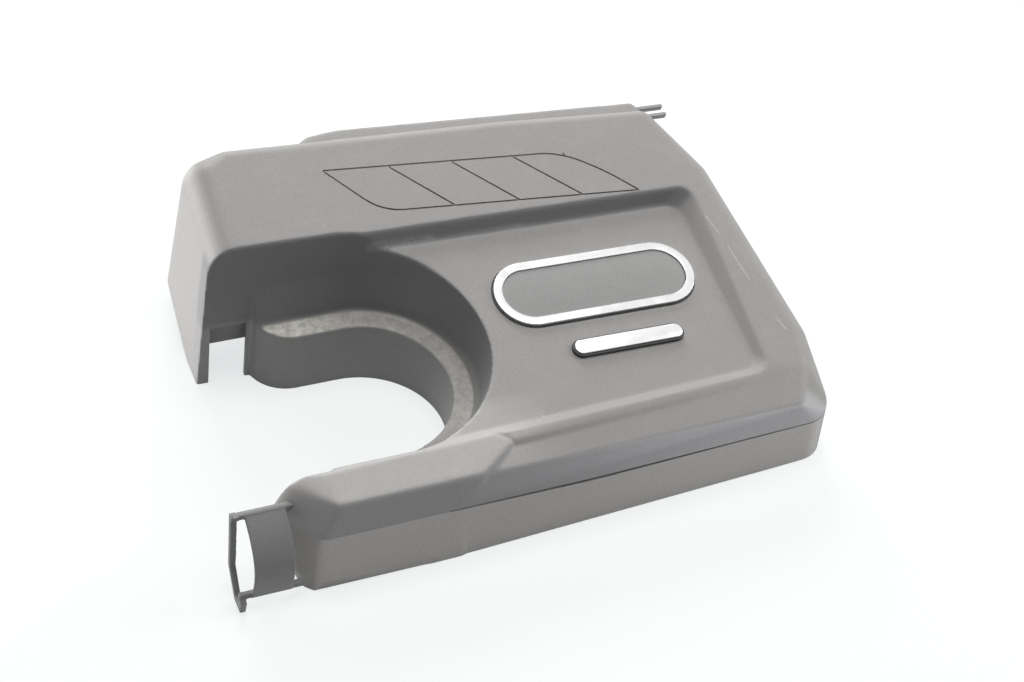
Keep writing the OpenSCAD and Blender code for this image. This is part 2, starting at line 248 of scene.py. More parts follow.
def spread(tree, value, low, high, to_low=0.0, to_high=1.0):
    """to_low up to low, to_high from high on, and a soft step between."""
    node = add(tree, "MapRange", {"interpolation_type": "SMOOTHSTEP"}, Value=value,
               From_Min=low, From_Max=high, To_Min=to_low, To_Max=to_high)
    return node.outputs["Result"]


def rises(tree, value, edge):
    return spread(tree, value, *edge)


def fades(tree, value, edge):
    return spread(tree, value, *edge, 1.0, 0.0)


def band(tree, value, low, high, soft):
    """1 where value lies between low and high, falling to 0 over soft on either side."""
    return both(tree, rises(tree, value, (low - soft, low)), fades(tree, value, (high, high + soft)))


def sums(tree, what, a, b):
    return add(tree, "Math", {"operation": what}, i0=a, i1=b).outputs[0]


def both(tree, *masks):
    total = masks[0]
    for mask in masks[1:]:
        total = sums(tree, "MULTIPLY", total, mask)
    return total


def turned(tree, value):
    return sums(tree, "MULTIPLY", value, -1.0)


def mixed(tree, share, a, b):
    node = add(tree, "Mix", {"data_type": "RGBA"}, i0=share, i6=a, i7=b)
    return node.outputs[2]


def grey(level, warm=0.0):
    return (level * (1 + warm), level, level * (1 - warm), 1)


def colour_below(finish):
    """The finish's tree, its shader, and the colour that reaches the shader now."""
    tree = finish.node_tree
    skin = tree.nodes["Principled BSDF"]
    return tree, skin, skin.inputs["Base Color"].links[0].from_socket


print("a grey, a little warm:", grey(0.33, 0.01))

# %% [markdown]
# The cover is a filled nylon moulded in a spark-eroded tool, so its skin is a fine even grain.
# Grain is far too small to model, and it becomes bump. A slow cloud and small flecks vary the
# colour, as the filler does in the real one, and dust settles on faces that look up.

# %% Moulded plastic of the cover
CLOUD, FLECK, GRAIN, DUST_PATCH = 60 * MM, 1.1 * MM, 0.55 * MM, 24 * MM
DUST = (0.46, 0.45, 0.42, 1)
PLASTIC_ROUGH = (0.5, 0.62)
GRAIN_DEEP = 0.12 * MM


def moulded_plastic(name, level, dusty):
    """level is the plastic's own grey, and dusty is how much of the thickest dust hides it."""
    finish, tree, skin = new_finish(name)
    here = object_place(tree)
    facing = split(tree, add(tree, "NewGeometry").outputs["Normal"])[2]
    cloud = noise(tree, here, CLOUD, 4)
    fleck = noise(tree, here, FLECK, 2)
    grain = noise(tree, here, GRAIN, 2, 0.6)
    base = mixed(tree, spread(tree, cloud, 0.35, 0.65), grey(level * 0.98, 0.012), grey(level * 1.02, 0.008))
    base = mixed(tree, spread(tree, fleck, 0.3, 0.7, 0, 0.6), base, grey(level * 1.22, 0.01))
    lies = spread(tree, noise(tree, here, DUST_PATCH, 6, 0.7), 0.48, 0.75, 0, dusty)
    base = mixed(tree, both(tree, rises(tree, facing, (0.3, 0.95)), lies), base, DUST)
    feed(tree, base, skin.inputs["Base Color"])
    feed(tree, spread(tree, cloud, 0.3, 0.7, *PLASTIC_ROUGH), skin.inputs["Roughness"])
    bump = add(tree, "Bump", Height=grain, Strength=0.35, Distance=GRAIN_DEEP)
    feed(tree, bump.outputs["Normal"], skin.inputs["Normal"])
    return finish


cover_plastic = moulded_plastic("cover_plastic", 0.33, 0.25)
guide_plastic = moulded_plastic("guide_plastic", 0.23, 0.1)
badge_face = moulded_plastic("badge_face", 0.31, 0.15)
plinth_plastic = moulded_plastic("plinth_plastic", 0.035, 0.05)
print("plastics:", [m.name for m in (cover_plastic, guide_plastic, badge_face, plinth_plastic)])

# %% [markdown]
# Light and shade are painted into the cover's colour by place. Its outer walls, the left end and
# the arm are paler, as painted light. The walls of the opening and the foot of the ridge are darker,
# as painted shade, and they and the bevel take a cool tint. Pale dust lies thick on the ledge, made
# brighter still as a painted highlight. Each place is a mask, found from where a point lies and
# which way its face looks, and it adds a share to the plastic's colour or takes one away.

# %% Painted light and shade by place, and dust on the ledge
OPENING_SPOT = (-0.091, -0.025)
LEDGE_Z = 43 * MM
MOUTH_REACH, LEDGE_REACH = 90 * MM, 76 * MM

# How far each place goes: where it starts and where it is full, in metres.
FRONT_Y, FRONT_RUN = (-0.126, -0.118), (-0.12, 0.2)
LEFT_X, LEFT_Y = (-0.16, -0.15), (-0.02, 0)
ARM_X, ARM_Y = (-0.06, 0.02), (-0.09, -0.08)
MOUTH_Z = (0.046, 0.056)
RIDGE_Y, RIDGE_Z = (0.03, 0.075), (0.085, 0.09)
LEDGE_FADE_X = (-0.125, -0.07)

# The bevel's lower edge lies this far below the deck, at these two places along the front.
BEVEL_EDGE = (-0.07, 0.06, -16 * MM, -19.7 * MM)
CRISP = (-0.4 * MM, 0.4 * MM)

# How much painted light or shade each place gets, and the two tints: warm where lit, cool in shade.
WALL_ALONG, BEVEL_ALONG = (0.4, 0.62), (-0.02, 0.55)
WALL_PAINTED_LIGHT, BEVEL_PAINTED_LIGHT, LEFT_PAINTED_LIGHT, ARM_PAINTED_LIGHT, SHADED = 1.3, 1.3, 0.9, 0.4, -0.46
WARM_LIT, COOL_SHADE = (1.015, 1.0, 0.985, 1), (0.985, 0.99, 1.035, 1)
LEDGE_DUST_AND_HIGHLIGHT = (0.85, 0.84, 0.76, 1)


def in_opening(tree, here, reach):
    """1 inside the opening seen from above: a half round that runs out to the left."""
    x, y, z = split(tree, here)
    right = sums(tree, "MAXIMUM", sums(tree, "SUBTRACT", x, OPENING_SPOT[0]), 0.0)
    flat = add(tree, "CombineXYZ", X=right, Y=sums(tree, "SUBTRACT", y, OPENING_SPOT[1])).outputs[0]
    away = vector(tree, "LENGTH", "Value", i0=flat)
    return fades(tree, away, (reach - 3 * MM, reach + 3 * MM))


def over_deck(tree, here):
    off = vector(tree, "SUBTRACT", "Vector", i0=here, i1=DECK.translation)
    return vector(tree, "DOT_PRODUCT", "Value", i0=off, i1=DECK.to_3x3().col[2])


def painted_light_and_dust(finish):
    tree, skin, base = colour_below(finish)
    here = object_place(tree)
    x, y, z = split(tree, here)
    nx, ny, up = split(tree, add(tree, "NewGeometry").outputs["Normal"])
    to_front, to_left = turned(tree, ny), turned(tree, nx)
    over_edge = sums(tree, "SUBTRACT", over_deck(tree, here), spread(tree, x, *BEVEL_EDGE))
    along = rises(tree, x, FRONT_RUN)
    front = both(tree, fades(tree, y, FRONT_Y), rises(tree, to_front, (0.3, 0.7)))
    wall = both(tree, front, fades(tree, over_edge, CRISP), rises(tree, to_front, (0.7, 0.95)))
    bevel = both(tree, front, rises(tree, over_edge, CRISP), fades(tree, up, (0.6, 0.9)))
    # Painted light: the left end's wall and the arm's top are made paler, where light falls on them.
    left = both(tree, fades(tree, x, LEFT_X), rises(tree, to_left, (0.3, 0.9)), rises(tree, y, LEFT_Y))
    arm = both(tree, fades(tree, y, ARM_Y), rises(tree, up, (0.7, 0.95)), fades(tree, x, ARM_X))
    # Painted shade: the opening's walls and the foot of the ridge are made darker, where shade falls.
    inside = both(tree, in_opening(tree, here, MOUTH_REACH), spread(tree, z, *MOUTH_Z, 0.3),
                  fades(tree, up, (0.2, 0.6)))
    ridge = both(tree, band(tree, y, *RIDGE_Y, 10 * MM), rises(tree, to_front, (0.3, 0.6)),
                 rises(tree, z, RIDGE_Z))
    shaded = sums(tree, "MAXIMUM", inside, ridge)
    # Painted light on the front wall and the bevel, growing towards the right.
    wall_painted_light = both(tree, wall, spread(tree, along, 0, 1, *WALL_ALONG))
    bevel_painted_light = both(tree, bevel, spread(tree, along, 0, 1, *BEVEL_ALONG))
    painted_gain = 1.0
    for mask, change in ((wall_painted_light, WALL_PAINTED_LIGHT), (bevel_painted_light, BEVEL_PAINTED_LIGHT), (left, LEFT_PAINTED_LIGHT),
                         (arm, ARM_PAINTED_LIGHT), (shaded, SHADED)):
        painted_gain = sums(tree, "ADD", painted_gain, sums(tree, "MULTIPLY", mask, change))
    # Painted shade is tinted cool, on the bevel and in the shaded places, and the lit rest is tinted warm.
    light_tint = mixed(tree, sums(tree, "MAXIMUM", bevel, shaded), WARM_LIT, COOL_SHADE)
    base = vector(tree, "MULTIPLY", "Vector", i0=base, i1=light_tint)
    base = vector(tree, "SCALE", "Vector", i0=base, Scale=painted_gain)
    # Pale dust on the ledge with a painted highlight: brightest where it looks up, fainter towards the right.
    ledge = both(tree, in_opening(tree, here, LEDGE_REACH), rises(tree, up, (0.45, 0.9)),
                 band(tree, z, LEDGE_Z - 4 * MM, LEDGE_Z + 8 * MM, 2 * MM))
    streaks = spread(tree, noise(tree, here, 7 * MM, 6, 0.75), 0.35, 0.65, 0.35, 1.0)
    fainter = spread(tree, x, *LEDGE_FADE_X, 1.0, 0.45)
    feed(tree, mixed(tree, both(tree, ledge, streaks, fainter), base, LEDGE_DUST_AND_HIGHLIGHT), skin.inputs["Base Color"])


painted_light_and_dust(cover_plastic)
print("nodes in the cover's plastic:", len(cover_plastic.node_tree.nodes))

# %% [markdown]
# The badge rim and the bar are bright metal with a satin skin: almost white, with a faint brushed
# unevenness in its roughness. Nuts are pressed spring steel, grommets are matte rubber, and the
# pads are open foam, whose cells are a bump of small bubbles.

# %% Metal, rubber and foam
def bright_metal(name, level, rough):
    finish, tree, skin = new_finish(name)
    here = object_place(tree)
    skin.inputs["Metallic"].default_value = 1.0
    base = mixed(tree, noise(tree, here, 9 * MM, 3), grey(level * 0.94), grey(level))
    feed(tree, base, skin.inputs["Base Color"])
    uneven = spread(tree, noise(tree, here, 15 * MM, 3), 0.3, 0.7, rough, rough + 0.08)
    feed(tree, uneven, skin.inputs["Roughness"])
    bump = add(tree, "Bump", Height=noise(tree, here, 0.8 * MM, 2), Strength=0.01, Distance=0.01 * MM)
    feed(tree, bump.outputs["Normal"], skin.inputs["Normal"])
    return finish


def soft_finish(name, level, cell, depth):
    """Rubber or foam: cells of one size, dark between, with a bump as deep as depth."""
    finish, tree, skin = new_finish(name)
    cells = add(tree, "TexVoronoi", Vector=object_place(tree), Scale=1 / cell).outputs["Distance"]
    feed(tree, mixed(tree, cells, grey(level * 0.5), grey(level)), skin.inputs["Base Color"])
    skin.inputs["Roughness"].default_value = 0.9
    bump = add(tree, "Bump", Height=cells, Strength=0.8, Distance=depth)
    feed(tree, bump.outputs["Normal"], skin.inputs["Normal"])
    return finish


bright_trim = bright_metal("bright_trim", 0.76, 0.25)
nut_steel = bright_metal("nut_steel", 0.55, 0.35)
foam = soft_finish("foam", 0.09, 1.6 * MM, 0.6 * MM)
grommet_rubber = soft_finish("grommet_rubber", 0.045, 0.7 * MM, 0.05 * MM)
print("others:", [m.name for m in (bright_trim, nut_steel, foam, grommet_rubber)])

# %% [markdown]
# The outer form is three wrapped skins laid into each other: the hood, the raised crest along the
# front of the dish, and the arm that reaches to the left in front of the opening. They run a
# little below the table, and are cut off level at the end, so that the foot stays crisp.

# %% Outer form
SINK = 8 * MM

# Places are shares of the cover's length and depth, then come the radius and the drop in MM.
FOOT = [((-0.397, -0.479), 9), ((-0.167, -0.4745), 9), ((0.479, -0.381), 24), ((0.449, 0.36), 20),
        ((-0.434, 0.457), 8), ((-0.4266, 0.14), 12)]
BROW = [((-0.578, -0.4534), 10, 16), ((-0.36, -0.446), 10, 16), ((-0.12, -0.436), 10, 19),
        ((0.287, -0.357), 24, 20)]
FRONT_LEDGE = [(-0.56, -0.436), (0.262, -0.416)]
CREST = [(-0.25, -0.368), (0.228, -0.309)]
RIGHT_SHOULDERS = [(0.285, -0.325), (0.303, -0.226), (0.268, 0.27)]
REAR_SHOULDERS = [(0.22, 0.448), (-0.05, 0.47), (-0.545, 0.487)]
LEFT_SHOULDERS = [(-0.575, 0.455), (-0.581, 0.214)]
ARM = [(-0.325, -0.436), (-0.559, -0.443), (-0.265, -0.378), (-0.338, -0.3), (-0.578, -0.3)]
NOSE = (-0.62, -0.394)
NOSE_ROUND = (-0.588, -0.37)


def shoulders(bm, inset):
    for shares, r, drop in ((RIGHT_SHOULDERS, 16, 1), (REAR_SHOULDERS, 10, 0), (LEFT_SHOULDERS, 20, 0)):
        for share in shares:
            ball(bm, share, border_z(share[1]) - drop * MM, r * MM, inset)


def skirt(bm, inset, corners, proud=0.0):
    for share, r in FOOT[:corners]:
        disc(bm, share, (r + proud) * MM, -SINK, CENTRE, inset)
        disc(bm, share, (r + proud) * MM, 0, CENTRE, inset)


def brow(bm, inset, corners):
    """The lower edge of the front bevel: a band 1 mm high."""
    for share, r, drop in BROW[:corners]:
        for z in (-drop, 1 - drop):
            disc(bm, share, r * MM, z * MM - inset / 2, DECK, inset)


def hood_skin(inset):
    bm = bmesh.new()
    skirt(bm, inset, 6)
    brow(bm, inset, 4)
    for share in FRONT_LEDGE:
        ball(bm, share, 0, 4 * MM, inset)
    shoulders(bm, inset)
    wrap(bm)
    return solid(bm, "hood")


def crest_skin(inset):
    bm = bmesh.new()
    for share in CREST:
        ball(bm, share, border_z(share[1]), 6 * MM, inset)
    shoulders(bm, inset)
    wrap(bm)
    return solid(bm, "crest")


def arm_skin(inset):
    bm = bmesh.new()
    skirt(bm, inset, 2, 1)
    brow(bm, inset, 2)
    for share in ARM:
        ball(bm, share, 4.3 * MM, 4 * MM, inset)
    ball(bm, NOSE, -12 * MM, 12 * MM, inset)
    ball(bm, NOSE_ROUND, 2.5 * MM, 20 * MM, inset)
    wrap(bm)
    return solid(bm, "arm")


def form(inset):
    return combine(hood_skin(inset), [crest_skin(inset), arm_skin(inset)], "UNION")


print("corners: foot", len(FOOT), "front bevel", len(BROW), "crest", len(CREST), "arm", len(ARM) + 2)

# %% [markdown]
# The dish is a shallow tray pressed into the deck. Its sides flare: gently at the front, where
# the floor rises to the crest, and steeply at the ridge. A wrapped pair of rounded outlines, the
# small one on the floor and the wide one above, cuts that shape.

# %% Dish
# Each corner of the floor, and how far its sides lean outwards for each unit they rise.
DISH = [((-0.7, -0.3124), (0, -1.6)), ((-0.7, 0.1574), (0, 0.55)), ((0.1876, 0.1574), (1.2, 0.55)),
        ((0.1876, -0.2624), (1.2, -1.6))]
DISH_R = 12 * MM
DISH_CUT = 25 * MM


def dish(grow):
    bm = bmesh.new()
    for share, flare in DISH:
        disc(bm, share, DISH_R + grow, -grow, DECK)
        wide = (share[0] + flare[0] * DISH_CUT / COVER_L, share[1] + flare[1] * DISH_CUT / COVER_D)
        disc(bm, wide, DISH_R + grow, DISH_CUT - grow, DECK)
    wrap(bm)
    return solid(bm, "dish")


floor_deep = (DISH[1][0][1] - DISH[0][0][1]) * COVER_D
print("dish: the floor is", round(floor_deep / MM), "mm deep, and open to the left")

# %% [markdown]
# The opening on the left lets a filler neck through. It is stepped: a wide round mouth narrows to
# a ledge, and a smaller throat drops through the table side. Mouth and ledge are wrapped outlines
# that run out to the left. The throat is three simple solids laid together.

# %% Stepped opening
MOUTH = (-0.238, -0.116)
THROAT = (-0.2206, -0.096)
FAR = -0.8
SIDES = (-0.40023, 0.168)
LEDGE_SIDES = (-0.36016, 0.14)
MOUTH_R = 83 * MM
LEDGE_R = 70 * MM
THROAT_R = 56 * MM
THROAT_TURN = -0.365
TALL = 200 * MM
FILLET = 28 * MM
GAP = 0.3 * MM
LEDGE_TILT = Matrix.Rotation(math.radians(6), 4, "X")


def half_round(bm, share, r, sides, z, grow, on=CENTRE):
    """A disc, and two points on either side that stretch it out to the left."""
    flat_disc(bm, r + grow, on @ Matrix.Translation(place(share, z)), 96)
    for side, sign in ((sides[0], -1), (sides[1], 1)):
        for x in (FAR, share[0]):
            bmesh.ops.create_vert(bm, co=on @ (place((x, side), z) + Vector((0, sign * grow, 0))))


def mouth(grow):
    bm = bmesh.new()
    pivot = place(THROAT)
    lifted = CENTRE @ Matrix.Translation(pivot + Vector((0, 0, LEDGE_Z - grow)))
    half_round(bm, THROAT, LEDGE_R, LEDGE_SIDES, 0, grow, lifted @ LEDGE_TILT @ Matrix.Translation(-pivot))
    for z in (LEDGE_Z + 38 * MM, TALL):
        half_round(bm, MOUTH, MOUTH_R, SIDES, z, grow)
    wrap(bm)
    return solid(bm, "mouth")


def block(name, low, high, on=CENTRE):
    bm = bmesh.new()
    size = Vector(high) - Vector(low)
    middle = (Vector(high) + Vector(low)) / 2
    bmesh.ops.create_cube(bm, size=1, matrix=on @ Matrix.Translation(middle) @ Matrix.Diagonal(size.to_4d()))
    return solid(bm, name)


def post(name, share, r, low, high, on=CENTRE, segments=64):
    bm = bmesh.new()
    bmesh.ops.create_cone(bm, cap_ends=True, segments=segments, radius1=r, radius2=r, depth=high - low,
                          matrix=on @ Matrix.Translation(place(share, (low + high) / 2)))
    return solid(bm, name)


def throat(grow):
    low, high = -3 * SINK, TALL
    c = place(THROAT)
    core = post("throat", THROAT, THROAT_R + grow, low, high, segments=128)
    left, turn = FAR * COVER_L, THROAT_TURN * COVER_L
    run = block("run", (left, c.y - THROAT_R - grow, low), (c.x, c.y + THROAT_R + grow, high))
    wide = block("wide", (left, SIDES[0] * COVER_D - grow, low),
                 (turn + grow, SIDES[1] * COVER_D + grow, high))
    combine(core, [run, wide], "UNION")
    end = turn + grow + FILLET
    for side in (-1, 1):
        edge = c.y + side * (THROAT_R + grow)
        far_edge = edge + side * FILLET
        corner = block("corner", (turn, min(edge, far_edge) - GAP, low),
                       (end, max(edge, far_edge) + GAP, high))
        spot = (end / COVER_L, far_edge / COVER_D)
        combine(corner, [post("round", spot, FILLET, low - MM, high + MM, segments=48)], "DIFFERENCE")
        beyond = block("beyond", (turn - MM, far_edge - (side < 0) * 2 * FILLET, low - MM),
                       (end + MM, far_edge + (side > 0) * 2 * FILLET, high + MM))
        combine(corner, [beyond], "DIFFERENCE")
        combine(core, [corner], "UNION")
    return core


print("mouth, ledge and throat, in mm:", [round(2 * r / MM) for r in (MOUTH_R, LEDGE_R, THROAT_R)])

# %% [markdown]
# Behind the ridge a thin lip runs along the rear edge. It starts as a taper at the left, and it
# carries a forked peg at its right end, whose two prongs have rounded tips.

# %% Rear lip and peg
LIP = [(-0.452, 0.488), (0.25, 0.46), (-0.385, 0.545), (-0.33, 0.552), (0.2265, 0.521)]
LIP_T = 4 * MM
LIP_DROP = 14 * MM
PEG = (0.25, 0.497)
PEG_L = 16 * MM
PRONG_T = 3 * MM
PRONG_PITCH = 8 * MM
PRONG_ROOT = 8 * MM
LIP_LAYERS = ((0, 1.4 * MM), (0.35, 0), (0.65, 0), (1, 1.4 * MM))
PRONG_LAYERS = ((0, 0.3 * MM), (0.15, 0), (0.85, 0), (1, 0.3 * MM))


def lip_z(y_share):
    return border_z(y_share) - LIP_DROP - LIP_T


def rear_lip():
    bm = bmesh.new()
    for share in LIP:
        for z, ease in LIP_LAYERS:
            disc(bm, share, LIP_T - ease, lip_z(share[1]) + z * LIP_T, DECK)
    wrap(bm)
    return solid(bm, "lip")


def prong(side):
    bm = bmesh.new()
    root = place(PEG, lip_z(PEG[1]))
    for x in (-PRONG_ROOT, PEG_L - PRONG_T / 2):
        for z, ease in PRONG_LAYERS:
            spot = root + Vector((x, side * PRONG_PITCH / 2, z * LIP_T))
            flat_disc(bm, PRONG_T / 2 - ease, DECK @ Matrix.Translation(spot), 24)
    wrap(bm)
    return solid(bm, "prong")


print("rear lip:", round((LIP[1][0] - LIP[0][0]) * COVER_L / MM), "mm long,", round(LIP_T / MM), "mm thick")

# %% [markdown]
# Sharp cuts between such solids look machined, and a moulding has blends everywhere. So the outer
# form is rebuilt as an even grid of small cells and relaxed, which rounds each edge and fills
# each inner corner. It is relaxed most where the real one flows: at the ledge, the nose of the
# arm, the crest's start, the dish's sides and the lip. Later cuts, such as the grooves, stay crisp.

# %% Blended outer body
CELL = 1.1 * MM
LEVELS = 8


def rebuilt(piece, cell):
    cells = piece.modifiers.new("cells", "REMESH")
    cells.mode = "VOXEL"
    cells.voxel_size = cell
    return settle(piece)


def relax(piece, rounds, group=None):
    ease = piece.modifiers.new("relax", "SMOOTH")
    ease.factor = 0.5
    ease.iterations = rounds
    if group:
        ease.vertex_group = group
    return settle(piece)


# Spots that flow: the arm's nose, the crest's start and the lip's start, each with its reach and
# how soft it is in its middle.
SOFT_SPOTS = [(DECK @ place(NOSE, -12 * MM), 46 * MM, 0.3),
              (DECK @ place((-0.325, -0.425), 2 * MM), 34 * MM, 0.4),
              (DECK @ place((-0.41, 0.5), -2 * MM), 30 * MM, 1.0)]
THROAT_SPOT = CENTRE @ place(THROAT)
LEDGE_RING, LEDGE_HEIGHTS, LEDGE_SOFT = (46 * MM, 86 * MM), (30 * MM, 66 * MM), 0.3
DISH_REAR, DISH_REAR_SOFT = (0.1, 0.26), 0.3
DISH_RIGHT, DISH_RIGHT_SOFT = (0.14, 0.32), 0.15
DECK_BACK = DECK.inverted()


def within(span, value, soft):
    """1 well inside the span, falling to 0 at its two ends."""
    return max(0.0, min(1.0, (value - span[0]) / soft, (span[1] - value) / soft))


def softness(co):
    """How soft the moulding is at a point, from 0 to 1."""
    out = (co - THROAT_SPOT).xy.length
    deck = DECK_BACK @ co
    on_deck = deck.z > -6 * MM
    levels = [LEDGE_SOFT * within(LEDGE_RING, out, 6 * MM) * within(LEDGE_HEIGHTS, co.z, 6 * MM),
              DISH_REAR_SOFT * within(DISH_REAR, deck.y / COVER_D, 0.02) * on_deck,
              DISH_RIGHT_SOFT * within(DISH_RIGHT, deck.x / COVER_L, 0.02) * on_deck]
    levels += [most * (1 - (co - spot).length / reach) for spot, reach, most in SOFT_SPOTS]
    return min(1.0, max(0.0, *levels))


def soft_group(piece):
    levels = {}
    for v in piece.data.vertices:
        level = round(softness(v.co) * LEVELS)
        if level:
            levels.setdefault(level, []).append(v.index)
    group = piece.vertex_groups.new(name="soft")
    for level, indices in levels.items():
        group.add(indices, level / LEVELS, "REPLACE")
    return group.name


def outer_body():
    body = form(0)
    combine(body, [rear_lip()], "UNION")
    combine(body, [dish(0), mouth(0), throat(0)], "DIFFERENCE")
    rebuilt(body, CELL * (1))
    relax(body, 60, soft_group(body))
    return relax(body, 6)


shell = outer_body()
print("outer body faces:", len(shell.data.polygons))

# %% [markdown]
# Underneath, the moulding is a hollow skin. The same three forms, drawn in by the wall, make the
# hollow. The dish, the opening's walls and the socket towers with their ribs are kept out of it.

# %% Hollow with towers and ribs
TOWERS = [(-0.372, -0.455), (0.44, -0.35), (-0.34, 0.33), (0.4, 0.3)]
TOWER_Z = 30 * MM
STUD_DEEP = 12 * MM
SOCKET_R = 8.8 * MM
SOCKET_T = 2.5 * MM
RIB_L = 40 * MM
RIB_T = 2 * MM
WEB_X, WEB_Y, WEB_Z = (-0.455, -0.355), 0.206, 26 * MM


def tower(share):
    """A round post with a socket in its foot, and two crossed ribs that stiffen it."""
    c = place(share)
    core = post("tower", share, SOCKET_R + SOCKET_T, TOWER_Z, TALL)
    ribs = []
    for l, w in ((RIB_L / 2, RIB_T / 2), (RIB_T / 2, RIB_L / 2)):
        ribs.append(block("rib", (c.x - l, c.y - w, TOWER_Z + STUD_DEEP), (c.x + l, c.y + w, TALL)))
    combine(core, ribs, "UNION")
    return combine(core, [post("socket", share, SOCKET_R, TOWER_Z - MM, TOWER_Z + STUD_DEEP)], "DIFFERENCE")


def hollow():
    inside = form(WALL)
    web_y = WEB_Y * COVER_D
    web = block("web", (WEB_X[0] * COVER_L, web_y, WEB_Z), (WEB_X[1] * COVER_L, web_y + RIB_T, TALL))
    keep = [dish(WALL), mouth(WALL), throat(WALL), web] + [tower(share) for share in TOWERS]
    return combine(inside, keep, "DIFFERENCE")


combine(shell, [hollow()], "DIFFERENCE")
combine(shell, [prong(-1), prong(1)], "UNION")
print("hollow shell faces:", len(shell.data.polygons))

# %% [markdown]
# The last cuts are crisp: the foot is trimmed level, the skirt rises at the rear left, a notch
# beside the leg lets a hose pass, the badge gets its seat, and the arm's foot is tucked in.
# Along the lower edge of the front bevel runs a fine line, cut by a thin plate less its core.

# %% Trims and seats
LEG_X = -0.455 * COVER_L + 8 * MM
NOTCH_W = 26 * MM
NOTCH_H = 50 * MM
BADGE_L = 150 * MM
BADGE_W = 52 * MM
BAR_PLACE = (0.012, -0.17)
SEAT_DEEP = 1 * MM
MOAT = 1.1 * MM
HEEL_X, HEEL_Y, HEEL_H = -0.1, (0.25, 0.5), 30 * MM
TUCK_DEEP, TUCK_H = 1.6 * MM, 9 * MM


def pull(bm, face, way):
    """Draw a flat face out into a solid."""
    pulled = bmesh.ops.extrude_face_region(bm, geom=[face])["geom"]
    bmesh.ops.translate(bm, verts=[g for g in pulled if isinstance(g, bmesh.types.BMVert)], vec=way)


def stadium(name, l, w, low, high, share=(0, 0), segments=96):
    """A slab on the deck with two round ends: a circle whose halves are moved apart."""
    bm = bmesh.new()
    ring = bmesh.ops.create_circle(bm, cap_ends=True, segments=segments, radius=w / 2)["verts"]
    turn = Matrix.Rotation(math.pi / segments, 3, "Z")
    for v in ring:
        v.co = turn @ v.co
        v.co.x += math.copysign((l - w) / 2, v.co.x)
        v.co = DECK @ (v.co + place(share, low))
    pull(bm, ring[0].link_faces[0], DECK.to_3x3() @ Vector((0, 0, high - low)))
    return solid(bm, name)


def hull(name, points):
    bm = bmesh.new()
    for point in points:
        bmesh.ops.create_vert(bm, co=CENTRE @ Vector(point))
    bmesh.ops.convex_hull(bm, input=bm.verts[:])
    return solid(bm, name)


def heel_cut():
    low_y, high_y = [y * COVER_D for y in HEEL_Y]
    side = ((low_y, -2 * SINK), (low_y, 0), (high_y, HEEL_H), (COVER_D, HEEL_H), (COVER_D, -2 * SINK))
    return hull("heel", [(x, y, z) for x in (-COVER_L, HEEL_X * COVER_L) for y, z in side])


def tuck():
    """The arm's front foot is cut back: deepest at the left, and fading out to the right."""
    share, r = FOOT[0]
    front = share[1] * COVER_D - (r + 1) * MM
    left, right = [share[0] * COVER_L - 10 * MM for share, r in FOOT[:2]]
    points = []
    for x, deep, high in ((left, TUCK_DEEP, 0), (left, 0, TUCK_H), (right, TUCK_DEEP, -MM)):
        points += [(x, y, z) for z in (-MM, high) for y in (front - MM, front + deep)]
    return hull("tuck", points)


def plate(name, proud, low, high, reach):
    """A flat plate along the front bevel's lower edge, from low to high over it."""
    bm = bmesh.new()
    for share, r, drop in BROW[1:]:
        for z in (low - drop, high - drop):
            for y in (0, reach):
                disc(bm, (share[0], share[1] + y / COVER_D), (r + proud) * MM, z * MM, DECK)
    wrap(bm)
    return solid(bm, name)


below = block("below", (-COVER_L, -COVER_D, -3 * SINK), (COVER_L, COVER_D, 0))
notch_y = SIDES[1] * COVER_D
notch = block("notch", (LEG_X, notch_y - 4 * MM, -MM), (LEG_X + NOTCH_W, notch_y + 5 * MM, NOTCH_H))
seat = stadium("seat", BADGE_L + 2 * MOAT, BADGE_W + 2 * MOAT, -SEAT_DEEP, 25 * MM)
line = combine(plate("line", 3, -0.3, 0.3, 0), [plate("core", -1.2, -2, 2, 90 * MM)], "DIFFERENCE")
combine(shell, [below, heel_cut(), notch, seat, tuck(), line], "DIFFERENCE")
print("trimmed shell faces:", len(shell.data.polygons))

# %% [markdown]
# Slanted grooves on the ridge are a row of fine cuts, 1.4 mm wide. Each is a thin blade wrapped
# over two small discs, laid along one line of the panel.

# %% Grooves
PANEL = [(-0.397, 0.411), (0.012, 0.373), (0.052, 0.35), (0.1, 0.297), (0.146, 0.228), (-0.322, 0.273)]
PANEL_ROUND = [1, 7, 8, 9, 1.5, 16]
PANEL_TOP, PANEL_LOW = ((-0.397, 0.411), (0.052, 0.373)), ((-0.31, 0.272), (0.146, 0.228))
LAST_DIVIDER = 0.768
GROOVE_R = 0.7 * MM
GROOVE_DEEP = 1.1 * MM


def between(a, b, t):
    return (a[0] + (b[0] - a[0]) * t, a[1] + (b[1] - a[1]) * t)


def rounded(corners, radii, steps=6):
    """The corners' outline, each corner a short curve that starts and ends its radius away."""
    line = []
    for i, corner in enumerate(corners):
        ends = []
        for other in (corners[i - 1], corners[(i + 1) % len(corners)]):
            ends.append(between(corner, other, radii[i] * MM / (place(other) - place(corner)).length))
        for k in range(steps + 1):
            t = k / steps
            line.append(between(between(ends[0], corner, t), between(corner, ends[1], t), t))
    return line


def groove(a, b):
    bm = bmesh.new()
    for share in (a, b):
        for z in (-GROOVE_DEEP, 6 * MM):
            flat_disc(bm, GROOVE_R, DECK @ Matrix.Translation(place(share, border_z(share[1]) + z)), 12)
    wrap(bm)
    return solid(bm, "groove")


outline = rounded(PANEL, PANEL_ROUND)
blades = [groove(outline[i - 1], outline[i]) for i in range(len(outline))]
DIVIDERS = []
for i in (1, 2, 3):
    top = between(*PANEL_TOP, i / 4)
    low = between(*PANEL_LOW, i * LAST_DIVIDER / 3)
    DIVIDERS += [top, low]
    blades.append(groove(top, low))
combine(blades[0], blades[1:], "UNION")
combine(shell, [blades[0]], "DIFFERENCE")
print("grooved shell faces:", len(shell.data.polygons))
